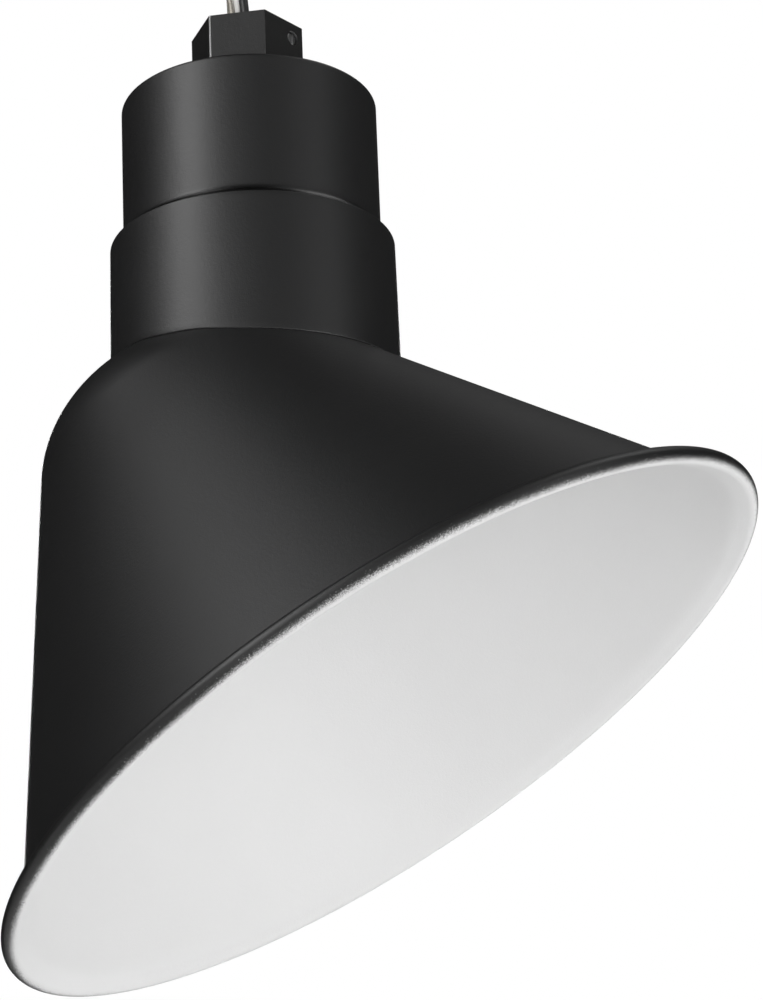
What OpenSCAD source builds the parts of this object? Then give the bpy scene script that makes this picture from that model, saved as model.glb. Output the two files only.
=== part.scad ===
/* [Hub] */
// Distance across the flats of the hexagonal hub
hub_flats = 36; // [34:0.5:40]
// Height of the hexagon above its gasket
hub_h = 30; // [24:1:36]
// Diameter of the bore for the half-inch pipe thread
hub_bore_d = 19.8; // [18:0.2:21]
// Direction that one of the flats faces, in degrees
hub_turn = 24.8; // [0:0.2:60]
// Diameter of the stub that passes through the housing
stub_d = 26; // [24:0.5:28]
// Length of the stub below the hexagon
stub_l = 15; // [14:0.5:18]
// Diameter of the set screw
set_screw_d = 4.8; // [4:0.2:6]
// Depth of the set screw's axis below the hub's top
set_screw_depth = 6; // [5:0.5:10]
// Distance of the set screw's axis from the middle of its flat
set_screw_shift = 5; // [0:0.5:6]

/* [Neck] */
// Outer diameter of the socket housing
housing_d = 93.2; // [90:0.2:96]
// Height of the socket housing above the step
housing_h = 56.5; // [50:0.5:60]
// Outer diameter of the collar at its top edge
collar_d = 102.9; // [100:0.1:106]
// Growth of the collar's radius for each millimetre down
collar_draft = 0.009; // [0:0.001:0.02]
// Wall of the housing and of the collar
neck_wall = 1.5; // [1:0.1:2]
// Thickness of the gasket under the hub
gasket_t = 1.6; // [1:0.1:3]

/* [Shade] */
// Outer diameter of the mouth over its rolled rim
mouth_d = 304.8; // [300:0.2:310]
// Angle between the mouth's axis and the neck's axis
tilt = 30; // [20:1:40]
// Half angle of the cone
cone_angle = 32.2; // [28:0.1:36]
// Radius of the shoulder between the cone and the crown
shoulder_r = 44; // [36:1:50]
// Height of the crown above the mouth's plane
crown_h = 163.8; // [150:0.2:175]
// Offset of the mouth's centre from the neck's axis
mouth_x = 42.2; // [30:0.2:50]
// Depth of the mouth's centre below the housing's top
mouth_drop = 241.7; // [230:0.1:255]
// Thickness of the spun sheet
sheet_t = 1.2; // [0.8:0.1:2]
// Radius of the rolled bead
bead_r = 3.1; // [2:0.1:4]

/* [Lampholder] */
// Inner diameter of the lampholder's screw shell
shell_d = 26.2; // [25:0.1:28]
// Depth of the lampholder's mouth below the hub's top
holder_mouth = 114; // [108:1:120]
// Outer diameter of the porcelain barrel
barrel_d = 38; // [35:0.5:38]
// Outer diameter of the porcelain flange
flange_d = 56; // [52:1:60]
// Distance between the two fixing screws
fixing_span = 46; // [44:1:48]

/* [Hidden] */
$fn = 96;

// levels on the neck's axis, measured up from the hub's top
housing_top = -hub_h - gasket_t;
step_z = housing_top - housing_h;
plate_t = 2;
plate_under = housing_top - plate_t;

// neck radii
housing_r = housing_d / 2;
collar_r = collar_d / 2;
cove_r = collar_r - housing_r;
collar_inner_r = collar_r - neck_wall;
spigot_r = collar_inner_r - 0.05;
spigot_h = 12;
stub_hole_r = stub_d / 2 + 0.2;
top_round = 1.5;

// shade outline, as radius and height above the mouth's plane
rim_r = mouth_d / 2;
bead_x = rim_r - bead_r;
bead_y = 0.2;
cone_r = rim_r - 7.3;
shoulder_y = crown_h - shoulder_r;
shoulder_x = cone_r - shoulder_y * tan(cone_angle) - shoulder_r / cos(cone_angle);
neck_hole_r = collar_inner_r;
mouth_z = housing_top - mouth_drop;

// lampholder levels
yoke_t = 2;
yoke_w = 20;
yoke_eye_r = 20;
yoke_leg_x = 30;
yoke_foot_z = -64;
ground_z = -48;
ground_face_x = yoke_leg_x - yoke_t;
disc_t = 1;
flange_top = yoke_foot_z - yoke_t - disc_t;
flange_h = 9;
pocket_h = 8;
pocket_r = 17;
floor_top = flange_top - pocket_h;
floor_t = 8;
floor_under = floor_top - floor_t;
shell_wall = 0.6;
shell_r = shell_d / 2;
cavity_r = shell_r + shell_wall + 0.6;
mouth_level = -holder_mouth;
fixing_x = fixing_span / 2;
fixing_r = 2;

washer_t = 1.2;
locknut_t = 6;
washer_top = plate_under - yoke_t;
locknut_top = washer_top - washer_t;

// centre contact
contact_t = 0.5;
contact_w = 5;
contact_root_x = -4;
contact_gap = 0.3;
rivet_x = -8;
rivet_hole_r = 1.25;
shell_rivet_y = 11.7;
black_post = [-8, -8];
white_post = [8, 8];

// leads: routes by hand, from inside the hub's bore over its back and down on the housing's top
black_r = 1.5;
white_r = 1.2;
ground_r = 0.7;
black_route = [[0, 0, -4], [-0.2, 0, 6], [-0.5, 0, 12], [-1.1, 1, 18], [-2, 4, 24], [-2.5, 10, 29],
    [-3, 18, 31], [-3.5, 26, 28], [-4, 32, 21], [-4, 35, 12], [-4, 36, 3], [-4, 36, -6],
    [-3, 36, -15], [0, 35.5, -23], [6, 34.5, -28.5], [14, 32.5, -30], [22, 28, -30],
    [28.5, 21.5, -30], [33, 13, -30], [35, 4, -30], [35, -5, -30]];
white_route = [[-3, 0, -4], [-3.1, 0, 6], [-3.4, 0, 12], [-4.1, 1, 18], [-5, 4, 24], [-5.5, 10, 29],
    [-6, 18, 31], [-6.5, 26, 28], [-7, 32, 21], [-7, 35, 12], [-7.5, 36, 3], [-8, 36, -6],
    [-9, 36, -15], [-12, 35, -23], [-17, 32, -29], [-23, 27.5, -30.3], [-28.5, 21, -30.3],
    [-32.5, 13.5, -30.3], [-34.5, 5.5, -30.3], [-35, -3, -30.3], [-34, -11, -30.3]];
ground_route = [[-4.5, -1.7, -4], [-4.7, -1.6, 5], [-5.1, -1.4, 10], [-5.8, -0.9, 15], [-6.8, 1, 20],
    [-7.8, 5, 25], [-8.2, 11, 28], [-8.6, 18, 29], [-9, 25, 26.5], [-9.4, 30, 21], [-9.7, 33, 13],
    [-10, 34, 4], [-11, 34, -6], [-12, 33, -15], [-14, 30.5, -24], [-17, 27, -29.5],
    [-20.5, 22, -30.8], [-24, 16, -30.8], [-26.5, 9, -30.8], [-27.5, 1.5, -30.8],
    [-27, -6, -30.8]];
tip_l = 11;

// routes inside, from the terminals up into the hub's bore
black_inside = [[-8, -8, -74], [-8, -8, -66], [-7, -7, -58], [-3, -3, -50], [0, -0.5, -42],
    [0, 0, -34], [0, 0, -4]];
white_inside = [[8, 8, -74], [8, 8, -66], [7, 7, -58], [2, 4, -50], [-2.6, 1.4, -42],
    [-3, 0, -34], [-3, 0, -4]];
ground_inside = [[26.6, -5, -48], [26.6, -9.5, -48], [23, -13, -49.5], [15, -13, -52],
    [6, -11, -52.5], [-2, -8.5, -50], [-6, -4.5, -44], [-5, -2, -38], [-4.5, -1.7, -31],
    [-4.5, -1.7, -4]];

// points of an arc about c, from angle a to angle b
function arc(c, r, a, b, n) =
    [for (i = [0:n]) c + r * [cos(a + (b - a) * i / n), sin(a + (b - a) * i / n)]];

// right-hand half of the shade's section, moved inwards by t, closed on the axis
function shade_half(t) = concat(
    [[0, 0], [cone_r - t / cos(cone_angle), 0]],
    arc([shoulder_x, shoulder_y], shoulder_r - t, cone_angle, 90, 16),
    [[0, crown_h - t]]);

function unit(v) = v / norm(v);
function heading(p, i) = unit(p[min(i + 1, len(p) - 1)] - p[max(i - 1, 0)]);
// one ring of the tube, with its first point towards a fixed side direction
function ring(p, i, r, sides, side) =
    let (d = heading(p, i), u = unit(cross(side, d)), v = cross(d, u))
    [for (k = [0:sides - 1]) p[i] + r * (cos(360 * k / sides) * u + sin(360 * k / sides) * v)];

// tube of radius r swept along the points; side is never along the route
module swept_tube(p, r, sides, side) {
    n = len(p);
    points = [for (i = [0:n - 1]) each ring(p, i, r, sides, side)];
    skin = [for (i = [0:n - 2]) for (k = [0:sides - 1])
        [i * sides + k, i * sides + (k + 1) % sides,
         (i + 1) * sides + (k + 1) % sides, (i + 1) * sides + k]];
    ends = [[for (k = [sides - 1:-1:0]) k], [for (k = [0:sides - 1]) (n - 1) * sides + k]];
    polyhedron(points, concat(skin, ends), convexity = 6);
}

// round bar from a to b
module bar(a, b, r) {
    d = b - a;
    translate(a)
        rotate([0, acos(d.z / norm(d)), atan2(d.y, d.x)])
            cylinder(h = norm(d), r = r, $fn = 32);
}

module ring_solid(outer, inner, h) {
    difference() {
        cylinder(h = h, r = outer);
        translate([0, 0, -1]) cylinder(h = h + 2, r = inner);
    }
}

// places its children in the frame of the mouth, whose +Z points up the cone's axis
module at_mouth() {
    translate([mouth_x, 0, mouth_z]) rotate([0, -tilt, 0]) children();
}

// solid that fills the shade up to a skin t inside its outer surface
module shade_block(t) {
    at_mouth() rotate_extrude() polygon(shade_half(t));
}

// where the cone's inside turns outwards to the bead
lip_y = 1.5;

// section of the rolled rim: the bead and the short flare that leads to it
module bead_section() {
    lip_x = cone_r - sheet_t / cos(cone_angle) - lip_y * tan(cone_angle);
    touch = 235;
    translate([bead_x, bead_y]) circle(r = bead_r, $fn = 48);
    polygon([[lip_x, lip_y],
        [bead_x + bead_r * cos(touch), bead_y + bead_r * sin(touch)],
        [bead_x, bead_y],
        [bead_x - bead_r * cos(30), bead_y + bead_r * sin(30)],
        [cone_r - 3 * tan(cone_angle) - 0.1, 3]]);
}

module shade() {
    outer = shade_half(0);
    inner = shade_half(sheet_t);
    color("#232425")
        difference() {
            at_mouth() rotate_extrude() {
                difference() {
                    polygon(outer);
                    polygon(inner);
                    translate([-1, -1]) square([rim_r, lip_y + 1]);
                }
                bead_section();
            }
            translate([0, 0, step_z - 100]) cylinder(h = 200, r = neck_hole_r);
        }
}

module neck_collar() {
    reach = 62;
    color("#232425")
        difference() {
            translate([0, 0, step_z - reach])
                cylinder(h = reach, r1 = collar_r + reach * collar_draft, r2 = collar_r);
            translate([0, 0, step_z - reach - 1]) cylinder(h = reach + 2, r = collar_inner_r);
            shade_block(0);
        }
}

module socket_housing() {
    cove = [collar_r, step_z + cove_r];
    outer_end = acos((collar_r - spigot_r) / cove_r);
    inner_cove_r = cove_r + neck_wall;
    inner_end = acos((collar_r - spigot_r + neck_wall) / inner_cove_r);
    color("#232425")
        rotate_extrude()
            polygon(concat(
                [[stub_hole_r, plate_under], [stub_hole_r, housing_top]],
                arc([housing_r - top_round, housing_top - top_round], top_round, 90, 0, 6),
                arc(cove, cove_r, 180, 180 + outer_end, 10),
                [[spigot_r, step_z - spigot_h], [spigot_r - neck_wall, step_z - spigot_h]],
                arc(cove, inner_cove_r, 180 + inner_end, 180, 10),
                [[housing_r - neck_wall, plate_under]]));
}

module hex_hub() {
    face = hub_turn - 60;
    hole_r = set_screw_d / 2 + 0.05;
    hex_r = hub_flats / 2 / cos(30);
    color("#26272a")
        difference() {
            union() {
                translate([0, 0, -hub_h])
                    rotate([0, 0, hub_turn + 30]) cylinder(h = hub_h, r = hex_r, $fn = 6);
                translate([0, 0, -hub_h - stub_l]) cylinder(h = stub_l + 1, r = stub_d / 2);
            }
            translate([0, 0, -hub_h - stub_l - 1])
                cylinder(h = hub_h + stub_l + 2, r = hub_bore_d / 2);
            translate([0, 0, -1.2])
                cylinder(h = 1.4, r1 = hub_bore_d / 2, r2 = hub_bore_d / 2 + 1.4);
            rotate([0, 0, face]) translate([6, set_screw_shift, -set_screw_depth])
                rotate([0, 90, 0]) cylinder(h = 14, r = hole_r, $fn = 48);
            rotate([0, 0, face])
                translate([hub_flats / 2 - 0.4, set_screw_shift, -set_screw_depth])
                    rotate([0, 90, 0]) cylinder(h = 1, r1 = hole_r, r2 = hole_r + 1, $fn = 48);
        }
}

module hub_set_screw() {
    outer_x = hub_flats / 2 - 0.6;
    length = 7.5;
    r = set_screw_d / 2;
    color("#9a9b9c")
        rotate([0, 0, hub_turn - 60])
            translate([outer_x, set_screw_shift, -set_screw_depth]) rotate([0, -90, 0])
                difference() {
                    union() {
                        translate([0, 0, 0.4]) cylinder(h = length - 1.2, r = r, $fn = 48);
                        cylinder(h = 0.4, r1 = r - 0.4, r2 = r, $fn = 48);
                        translate([0, 0, length - 0.8])
                            cylinder(h = 0.8, r1 = r, r2 = r - 0.8, $fn = 48);
                    }
                    translate([-r - 1, -0.4, -1]) cube([2 * r + 2, 0.8, 2.2]);
                }
}

module hub_gasket() {
    color("#1b1b1b")
        translate([0, 0, housing_top])
            ring_solid(hub_flats / 2 - 0.6, stub_d / 2 + 0.1, gasket_t);
}

module hub_locknut() {
    color("#b9bbbd")
        translate([0, 0, locknut_top - locknut_t])
            difference() {
                intersection() {
                    cylinder(h = locknut_t, r = 38 / 2 / cos(30), $fn = 6);
                    translate([0, 0, -2])
                        cylinder(h = locknut_t + 2, r1 = 19, r2 = 19 + locknut_t + 2);
                }
                translate([0, 0, -1]) cylinder(h = locknut_t + 2, r = stub_d / 2 + 0.05);
            }
}

module lock_washer() {
    teeth = 12;
    color("#c4c6c8")
        translate([0, 0, locknut_top]) difference() {
            cylinder(h = washer_t, r = 19);
            translate([0, 0, -1]) cylinder(h = washer_t + 2, r = stub_d / 2 + 0.1);
            for (i = [0:teeth - 1])
                rotate([0, 0, 360 * i / teeth]) translate([17, -0.9, -1]) cube([4, 1.8, 4]);
        }
}

module socket_yoke() {
    leg_h = plate_under - yoke_foot_z;
    color("#c9cbcc")
        difference() {
            union() {
                translate([-yoke_leg_x, -yoke_w / 2, plate_under - yoke_t])
                    cube([2 * yoke_leg_x, yoke_w, yoke_t]);
                translate([0, 0, plate_under - yoke_t]) cylinder(h = yoke_t, r = yoke_eye_r);
                for (side = [-1, 1]) {
                    translate([side * (yoke_leg_x - yoke_t / 2) - yoke_t / 2, -yoke_w / 2,
                               yoke_foot_z - yoke_t])
                        cube([yoke_t, yoke_w, leg_h + yoke_t]);
                    translate([side > 0 ? fixing_x - 5 : -yoke_leg_x, -yoke_w / 2,
                               yoke_foot_z - yoke_t])
                        cube([yoke_leg_x - fixing_x + 5, yoke_w, yoke_t]);
                }
            }
            translate([0, 0, plate_under - yoke_t - 1])
                cylinder(h = yoke_t + 2, r = stub_hole_r - 0.1);
            for (side = [-1, 1])
                translate([side * fixing_x, 0, yoke_foot_z - yoke_t - 1])
                    cylinder(h = yoke_t + 2, r = fixing_r + 0.1, $fn = 32);
            translate([ground_face_x - 1, 0, ground_z])
                rotate([0, 90, 0]) cylinder(h = yoke_t + 2, r = 2.1, $fn = 32);
        }
}

module insulating_disc() {
    color("#b79a6a")
        translate([0, 0, flange_top]) difference() {
            cylinder(h = disc_t, r = flange_d / 2);
            for (side = [-1, 1]) {
                translate([side * fixing_x, 0, -1])
                    cylinder(h = 4, r = fixing_r + 0.2, $fn = 32);
            }
            translate(concat(black_post, -1)) cylinder(h = 4, r = black_r + 0.4, $fn = 32);
            translate(concat(white_post, -1)) cylinder(h = 4, r = white_r + 0.4, $fn = 32);
        }
}

module socket_body() {
    color("#ecebe6")
        difference() {
            union() {
                translate([0, 0, flange_top - flange_h])
                    cylinder(h = flange_h, r = flange_d / 2);
                translate([0, 0, mouth_level])
                    cylinder(h = flange_top - mouth_level - 1, r = barrel_d / 2);
                translate([0, 0, mouth_level]) cylinder(h = 5, r = barrel_d / 2 + 1.2);
            }
            translate([0, 0, floor_top]) cylinder(h = pocket_h + 1, r = pocket_r);
            translate([0, 0, mouth_level - 1])
                cylinder(h = floor_under - mouth_level + 1, r = cavity_r);
            for (side = [-1, 1]) {
                translate([side * fixing_x, 0, flange_top - flange_h - 1])
                    cylinder(h = flange_h + 2, r = fixing_r + 0.2, $fn = 32);
                translate([0, side * shell_rivet_y, floor_under - 1])
                    cylinder(h = floor_t + 2, r = rivet_hole_r, $fn = 32);
            }
            translate([rivet_x, 0, floor_under - 1])
                cylinder(h = floor_t + 2, r = rivet_hole_r, $fn = 32);
        }
}

// threaded wall below, a slightly wider relief round the contact above it
module screw_shell() {
    top_z = floor_under;
    flange_t = 0.5;
    thread_top = top_z - 6;
    relief_r = shell_r + 0.25;
    color("#c8ccd0")
        difference() {
            translate([0, 0, mouth_level + 1.5])
                cylinder(h = top_z - mouth_level - 1.5, r = shell_r + shell_wall);
            translate([0, 0, mouth_level]) cylinder(h = thread_top - mouth_level, r = shell_r);
            translate([0, 0, thread_top - 0.1])
                cylinder(h = top_z - thread_top - flange_t + 0.1, r = relief_r);
            translate([0, 0, top_z - 2]) cylinder(h = 4, r = 10.3);
            for (side = [-1, 1])
                translate([0, side * shell_rivet_y, top_z - 2])
                    cylinder(h = 4, r = rivet_hole_r, $fn = 32);
        }
}

// rivet with a round head below and a clenched head above
module rivet(low, high, r, head) {
    head_t = 0.6;
    translate([0, 0, low]) cylinder(h = high - low, r = r, $fn = 32);
    translate([0, 0, low - head_t])
        cylinder(h = head_t, r1 = head - 0.5, r2 = head, $fn = 32);
    translate([0, 0, high]) cylinder(h = head_t, r1 = head, r2 = head - 0.5, $fn = 32);
}

module shell_rivets() {
    color("#c2a55a")
        for (side = [-1, 1])
            translate([0, side * shell_rivet_y, 0])
                rivet(floor_under - 0.5, floor_top + (side > 0 ? 0.6 : 0), 1.2, 1.3);
}

module contact_plate() {
    far_x = -9.6;
    color("#c9a24d")
        translate([0, 0, floor_under - contact_t]) difference() {
            translate([far_x, -contact_w / 2, 0])
                cube([contact_root_x - contact_gap / 2 - far_x, contact_w, contact_t]);
            translate([rivet_x, 0, -1]) cylinder(h = 3, r = rivet_hole_r, $fn = 32);
        }
}

// tongue's outline seen from the side: it slopes down to a rounded nose under the axis
module contact_tongue() {
    start = contact_root_x + contact_gap / 2;
    top = floor_under - 0.25;
    color("#c9a24d")
        translate([0, contact_w / 2, 0]) rotate([90, 0, 0]) linear_extrude(contact_w)
            polygon([[start, top], [-1, top - 3.2], [1.5, top - 4.2], [4, top - 3.2],
                [4.3, top - 3.6], [1.5, top - 4.8], [-1.3, top - 3.7], [start, top - 0.5]]);
}

module contact_rivet() {
    color("#c2a55a")
        translate([rivet_x, 0, 0])
            rivet(floor_under - contact_t, floor_top + 0.6, 1.2, 1.6);
}

// flat tab with a rivet hole and a barrel that grips a lead of radius r
module terminal(hole, post, r) {
    along = post - hole;
    tab_t = 0.6;
    translate([0, 0, floor_top]) difference() {
        union() {
            translate(concat(hole, 0)) cylinder(h = tab_t, r = 2.6, $fn = 32);
            translate(concat(hole, 0))
                rotate([0, 0, atan2(along.y, along.x)])
                    translate([0, -1.8, 0]) cube([norm(along), 3.6, tab_t]);
            translate(concat(post, 0)) cylinder(h = 5, r = r + 0.6, $fn = 32);
        }
        translate(concat(hole, -1)) cylinder(h = 4, r = rivet_hole_r, $fn = 32);
        translate(concat(post, tab_t)) cylinder(h = 8, r = r + 0.05, $fn = 32);
    }
}

module shell_terminal() {
    color("#c8ccd0") terminal([0, shell_rivet_y], white_post, white_r);
}

module contact_terminal() {
    color("#c9a24d") terminal([rivet_x, 0], black_post, black_r);
}

module socket_screws() {
    head_z = flange_top - flange_h;
    color("#bfc1c2")
        for (side = [-1, 1])
            translate([side * fixing_x, 0, 0]) difference() {
                union() {
                    translate([0, 0, head_z])
                        cylinder(h = flange_h + disc_t + yoke_t + 5, r = fixing_r, $fn = 32);
                    translate([0, 0, head_z - 2.4])
                        cylinder(h = 2.4, r1 = 3.2, r2 = 3.8, $fn = 48);
                }
                translate([-5, -0.5, head_z - 3.4]) cube([10, 1, 2.2]);
            }
}

module socket_nuts() {
    color("#bfc1c2")
        for (side = [-1, 1])
            translate([side * fixing_x, 0, yoke_foot_z]) difference() {
                cylinder(h = 3.2, r = 7 / 2 / cos(30), $fn = 6);
                translate([0, 0, -1]) cylinder(h = 6, r = fixing_r, $fn = 32);
            }
}

module ground_screw() {
    ring_t = 1;
    head_h = 2.6;
    color("#2f8f4e")
        translate([ground_face_x - ring_t, 0, ground_z]) rotate([0, 90, 0])
            difference() {
                union() {
                    cylinder(h = yoke_t + 4, r = 2, $fn = 32);
                    translate([0, 0, -head_h]) cylinder(h = head_h, r = 8 / 2 / cos(30), $fn = 6);
                }
                translate([-5, -0.5, -head_h - 1]) cube([10, 1, 2]);
            }
}

// ring under the ground screw's head, with a barrel along -Y that grips the strand
module ground_ring_terminal() {
    ring_t = 1;
    color("#c8ccd0")
        difference() {
            union() {
                translate([ground_face_x - ring_t, 0, ground_z])
                    rotate([0, 90, 0]) cylinder(h = ring_t, r = 4.8, $fn = 48);
                translate([ground_inside[0].x, -4.2, ground_z])
                    rotate([90, 0, 0]) cylinder(h = 4.8, r = 1.3, $fn = 32);
            }
            translate([ground_face_x - 4, 0, ground_z])
                rotate([0, 90, 0]) cylinder(h = 8, r = 2.05, $fn = 32);
            translate([ground_inside[0].x, -4.8, ground_z])
                rotate([90, 0, 0]) cylinder(h = 8, r = ground_r + 0.05, $fn = 32);
        }
}

// a direction that the inside routes never run along
inside_side = [1, -0.6, 0];

module white_lead_in_housing() {
    color("#d9d7d0") swept_tube(white_inside, white_r, 8, inside_side);
}

module black_lead_in_housing() {
    color("#1c1c1c") swept_tube(black_inside, black_r, 8, inside_side);
}

module ground_lead_in_housing() {
    color("#9b9184") swept_tube(ground_inside, ground_r, 8, [1, 1, 1]);
}

// a direction that the leads' routes never run along
lead_side = [1, 0.15, -0.1];

module white_lead() {
    color("#d9d7d0") swept_tube(white_route, white_r, 8, lead_side);
}

module black_lead() {
    color("#1c1c1c") swept_tube(black_route, black_r, 8, lead_side);
}

module ground_lead() {
    color("#9b9184") swept_tube(ground_route, ground_r, 8, lead_side);
}

// bare end of a lead, straight on from the route's last point
module tip(route, r) {
    n = len(route) - 1;
    bar(route[n], route[n] + tip_l * heading(route, n), r);
}

module white_lead_tip() {
    color("#c9b089") tip(white_route, 0.7);
}

module black_lead_tip() {
    color("#c9b089") tip(black_route, 0.9);
}

shade();
neck_collar();
socket_housing();
hex_hub();
hub_set_screw();
hub_gasket();
hub_locknut();
lock_washer();
socket_yoke();
insulating_disc();
socket_body();
screw_shell();
shell_rivets();
contact_plate();
contact_tongue();
contact_rivet();
shell_terminal();
contact_terminal();
socket_screws();
socket_nuts();
ground_screw();
ground_ring_terminal();
white_lead_in_housing();
black_lead_in_housing();
ground_lead_in_housing();
white_lead();
black_lead();
ground_lead();
white_lead_tip();
black_lead_tip();
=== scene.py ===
"""Finishes, fine shapes, lights and camera for the angled shade lamp head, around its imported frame.

Metres throughout, in the frame's own axes: the origin is the middle of the hub's top, +Z is up the neck.
"""
import math

import bmesh
import bpy
import numpy as np
from mathutils import Matrix


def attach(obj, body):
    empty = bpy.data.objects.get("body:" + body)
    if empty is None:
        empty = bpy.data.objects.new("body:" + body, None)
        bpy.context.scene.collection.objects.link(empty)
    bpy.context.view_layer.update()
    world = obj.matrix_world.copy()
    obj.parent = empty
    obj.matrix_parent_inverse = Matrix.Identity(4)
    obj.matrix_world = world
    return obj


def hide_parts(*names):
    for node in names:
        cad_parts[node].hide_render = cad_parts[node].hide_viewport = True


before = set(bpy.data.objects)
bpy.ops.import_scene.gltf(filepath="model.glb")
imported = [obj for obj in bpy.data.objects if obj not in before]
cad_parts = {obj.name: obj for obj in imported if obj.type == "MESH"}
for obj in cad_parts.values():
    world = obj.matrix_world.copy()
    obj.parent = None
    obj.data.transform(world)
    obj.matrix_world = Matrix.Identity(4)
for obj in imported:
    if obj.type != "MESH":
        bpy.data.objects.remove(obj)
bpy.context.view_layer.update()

MM = 0.001
TAU = 2 * math.pi

# the head's dimensions, in millimetres, as the frame has them
HOUSING_TOP = -31.6
HOUSING_R = 46.6
PLATE = 2.0
TOP_ROUND = 1.5
STUB_HOLE_R = 13.2
SPIGOT_R, SPIGOT_H = 49.9, 12
STEP_Z = -88.1
COLLAR_R = 51.45
COLLAR_DRAFT = 0.009
COLLAR_INNER_R = 49.95
COVE_R = 4.85
NECK_WALL = 1.5
SHEET = 1.2
MOUTH_X, MOUTH_Z = 42.2, -273.3
TILT = math.radians(30)
CONE = math.radians(32.2)
CONE_R = 145.1
CROWN_H = 163.8
SHOULDER_R = 44.0
SHOULDER_Y = CROWN_H - SHOULDER_R
SHOULDER_X = CONE_R - SHOULDER_Y * math.tan(CONE) - SHOULDER_R / math.cos(CONE)
BEAD_R = 3.1
BEAD_X, BEAD_Y = 149.3, 0.2
BEAD_START, BEAD_END = 235, 548
INNER_FOOT, OUTER_FOOT = 4.35, 3.3

# the distance, in millimetres, given to the shade's walls, which are well away from the spray's edge
FAR_FROM_SPRAY = 12.0

# routes of the leads, in millimetres, as the frame's own leads have them
BLACK_ROUTE = [(0, 0, -4), (-0.2, 0, 6), (-0.5, 0, 12), (-1.1, 1, 18), (-2, 4, 24), (-2.5, 10, 29),
               (-3, 18, 31), (-3.5, 26, 28), (-4, 32, 21), (-4, 35, 12), (-4, 36, 3), (-4, 36, -6),
               (-3, 36, -15), (0, 35.5, -23), (6, 34.5, -28.5), (14, 32.5, -30), (22, 28, -30),
               (28.5, 21.5, -30), (33, 13, -30), (35, 4, -30), (35, -5, -30)]
WHITE_ROUTE = [(-3, 0, -4), (-3.1, 0, 6), (-3.4, 0, 12), (-4.1, 1, 18), (-5, 4, 24), (-5.5, 10, 29),
               (-6, 18, 31), (-6.5, 26, 28), (-7, 32, 21), (-7, 35, 12), (-7.5, 36, 3), (-8, 36, -6),
               (-9, 36, -15), (-12, 35, -23), (-17, 32, -29), (-23, 27.5, -30.3), (-28.5, 21, -30.3),
               (-32.5, 13.5, -30.3), (-34.5, 5.5, -30.3), (-35, -3, -30.3), (-34, -11, -30.3)]
GROUND_ROUTE = [(-4.5, -1.7, -4), (-4.7, -1.6, 5), (-5.1, -1.4, 10), (-5.8, -0.9, 15), (-6.8, 1, 20),
                (-7.8, 5, 25), (-8.2, 11, 28), (-8.6, 18, 29), (-9, 25, 26.5), (-9.4, 30, 21),
                (-9.7, 33, 13), (-10, 34, 4), (-11, 34, -6), (-12, 33, -15), (-14, 30.5, -24),
                (-17, 27, -29.5), (-20.5, 22, -30.8), (-24, 16, -30.8), (-26.5, 9, -30.8),
                (-27.5, 1.5, -30.8), (-27, -6, -30.8)]
BLACK_INSIDE = [(-8, -8, -74), (-8, -8, -66), (-7, -7, -58), (-3, -3, -50), (0, -0.5, -42),
                (0, 0, -34), (0, 0, -4)]
WHITE_INSIDE = [(8, 8, -74), (8, 8, -66), (7, 7, -58), (2, 4, -50), (-2.6, 1.4, -42),
                (-3, 0, -34), (-3, 0, -4)]
GROUND_INSIDE = [(26.6, -5, -48), (26.6, -9.5, -48), (23, -13, -49.5), (15, -13, -52),
                 (6, -11, -52.5), (-2, -8.5, -50), (-6, -4.5, -44), (-5, -2, -38), (-4.5, -1.7, -31),
                 (-4.5, -1.7, -4)]
TIP_LENGTH = 11

# the camera: degrees round and below the head, degrees of roll, metres, and millimetres of lens
CAMERA_AZIMUTH, CAMERA_ELEVATION, CAMERA_ROLL = 3.716, -21.321, -2.306
CAMERA_ASIDE, CAMERA_HEIGHT, CAMERA_DISTANCE = 0.042873, -0.186403, 1.4116
LENS, SENSOR = 144.13, 36


def towards(azimuth, elevation):
    """Unit direction from the head to a place seen at that azimuth (0 is in front, -Y; 90 is +X)."""
    a, e = math.radians(azimuth), math.radians(elevation)
    return np.array([math.sin(a) * math.cos(e), -math.cos(a) * math.cos(e), math.sin(e)])


def set_camera():
    """Long lens below the head's middle and a little to its right, rolled slightly."""
    back = towards(CAMERA_AZIMUTH, CAMERA_ELEVATION)
    right = towards(CAMERA_AZIMUTH + 90, 0)
    up = np.cross(back, right)
    roll = math.radians(CAMERA_ROLL)
    across = right * math.cos(roll) + up * math.sin(roll)
    upright = up * math.cos(roll) - right * math.sin(roll)
    place = right * CAMERA_ASIDE + np.array([0, 0, CAMERA_HEIGHT]) + back * CAMERA_DISTANCE
    data = bpy.data.cameras.new("camera")
    data.lens = LENS
    data.sensor_width = SENSOR
    data.clip_start, data.clip_end = 0.05, 60
    camera = bpy.data.objects.new("camera", data)
    bpy.context.scene.collection.objects.link(camera)
    matrix = np.eye(4)
    matrix[:3, 0], matrix[:3, 1], matrix[:3, 2], matrix[:3, 3] = across, upright, back, place
    camera.matrix_world = Matrix(matrix)
    bpy.context.scene.camera = camera


# ---- surfaces ----

def placed(name, mesh, body, node):
    """A smooth piece with that mesh, riding on a body in place of a frame node."""
    mesh.polygons.foreach_set("use_smooth", np.ones(len(mesh.polygons), bool))
    piece = bpy.data.objects.new(name, mesh)
    bpy.context.scene.collection.objects.link(piece)
    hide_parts(node)
    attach(piece, body)
    return piece


def new_piece(name, points, faces, node):
    """A piece of the head from its points, in millimetres, and its faces."""
    mesh = bpy.data.meshes.new(name)
    mesh.from_pydata((points * MM).tolist(), [], faces.tolist())
    mesh.update()
    return placed(name, mesh, "lamp_head", node)


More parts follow.
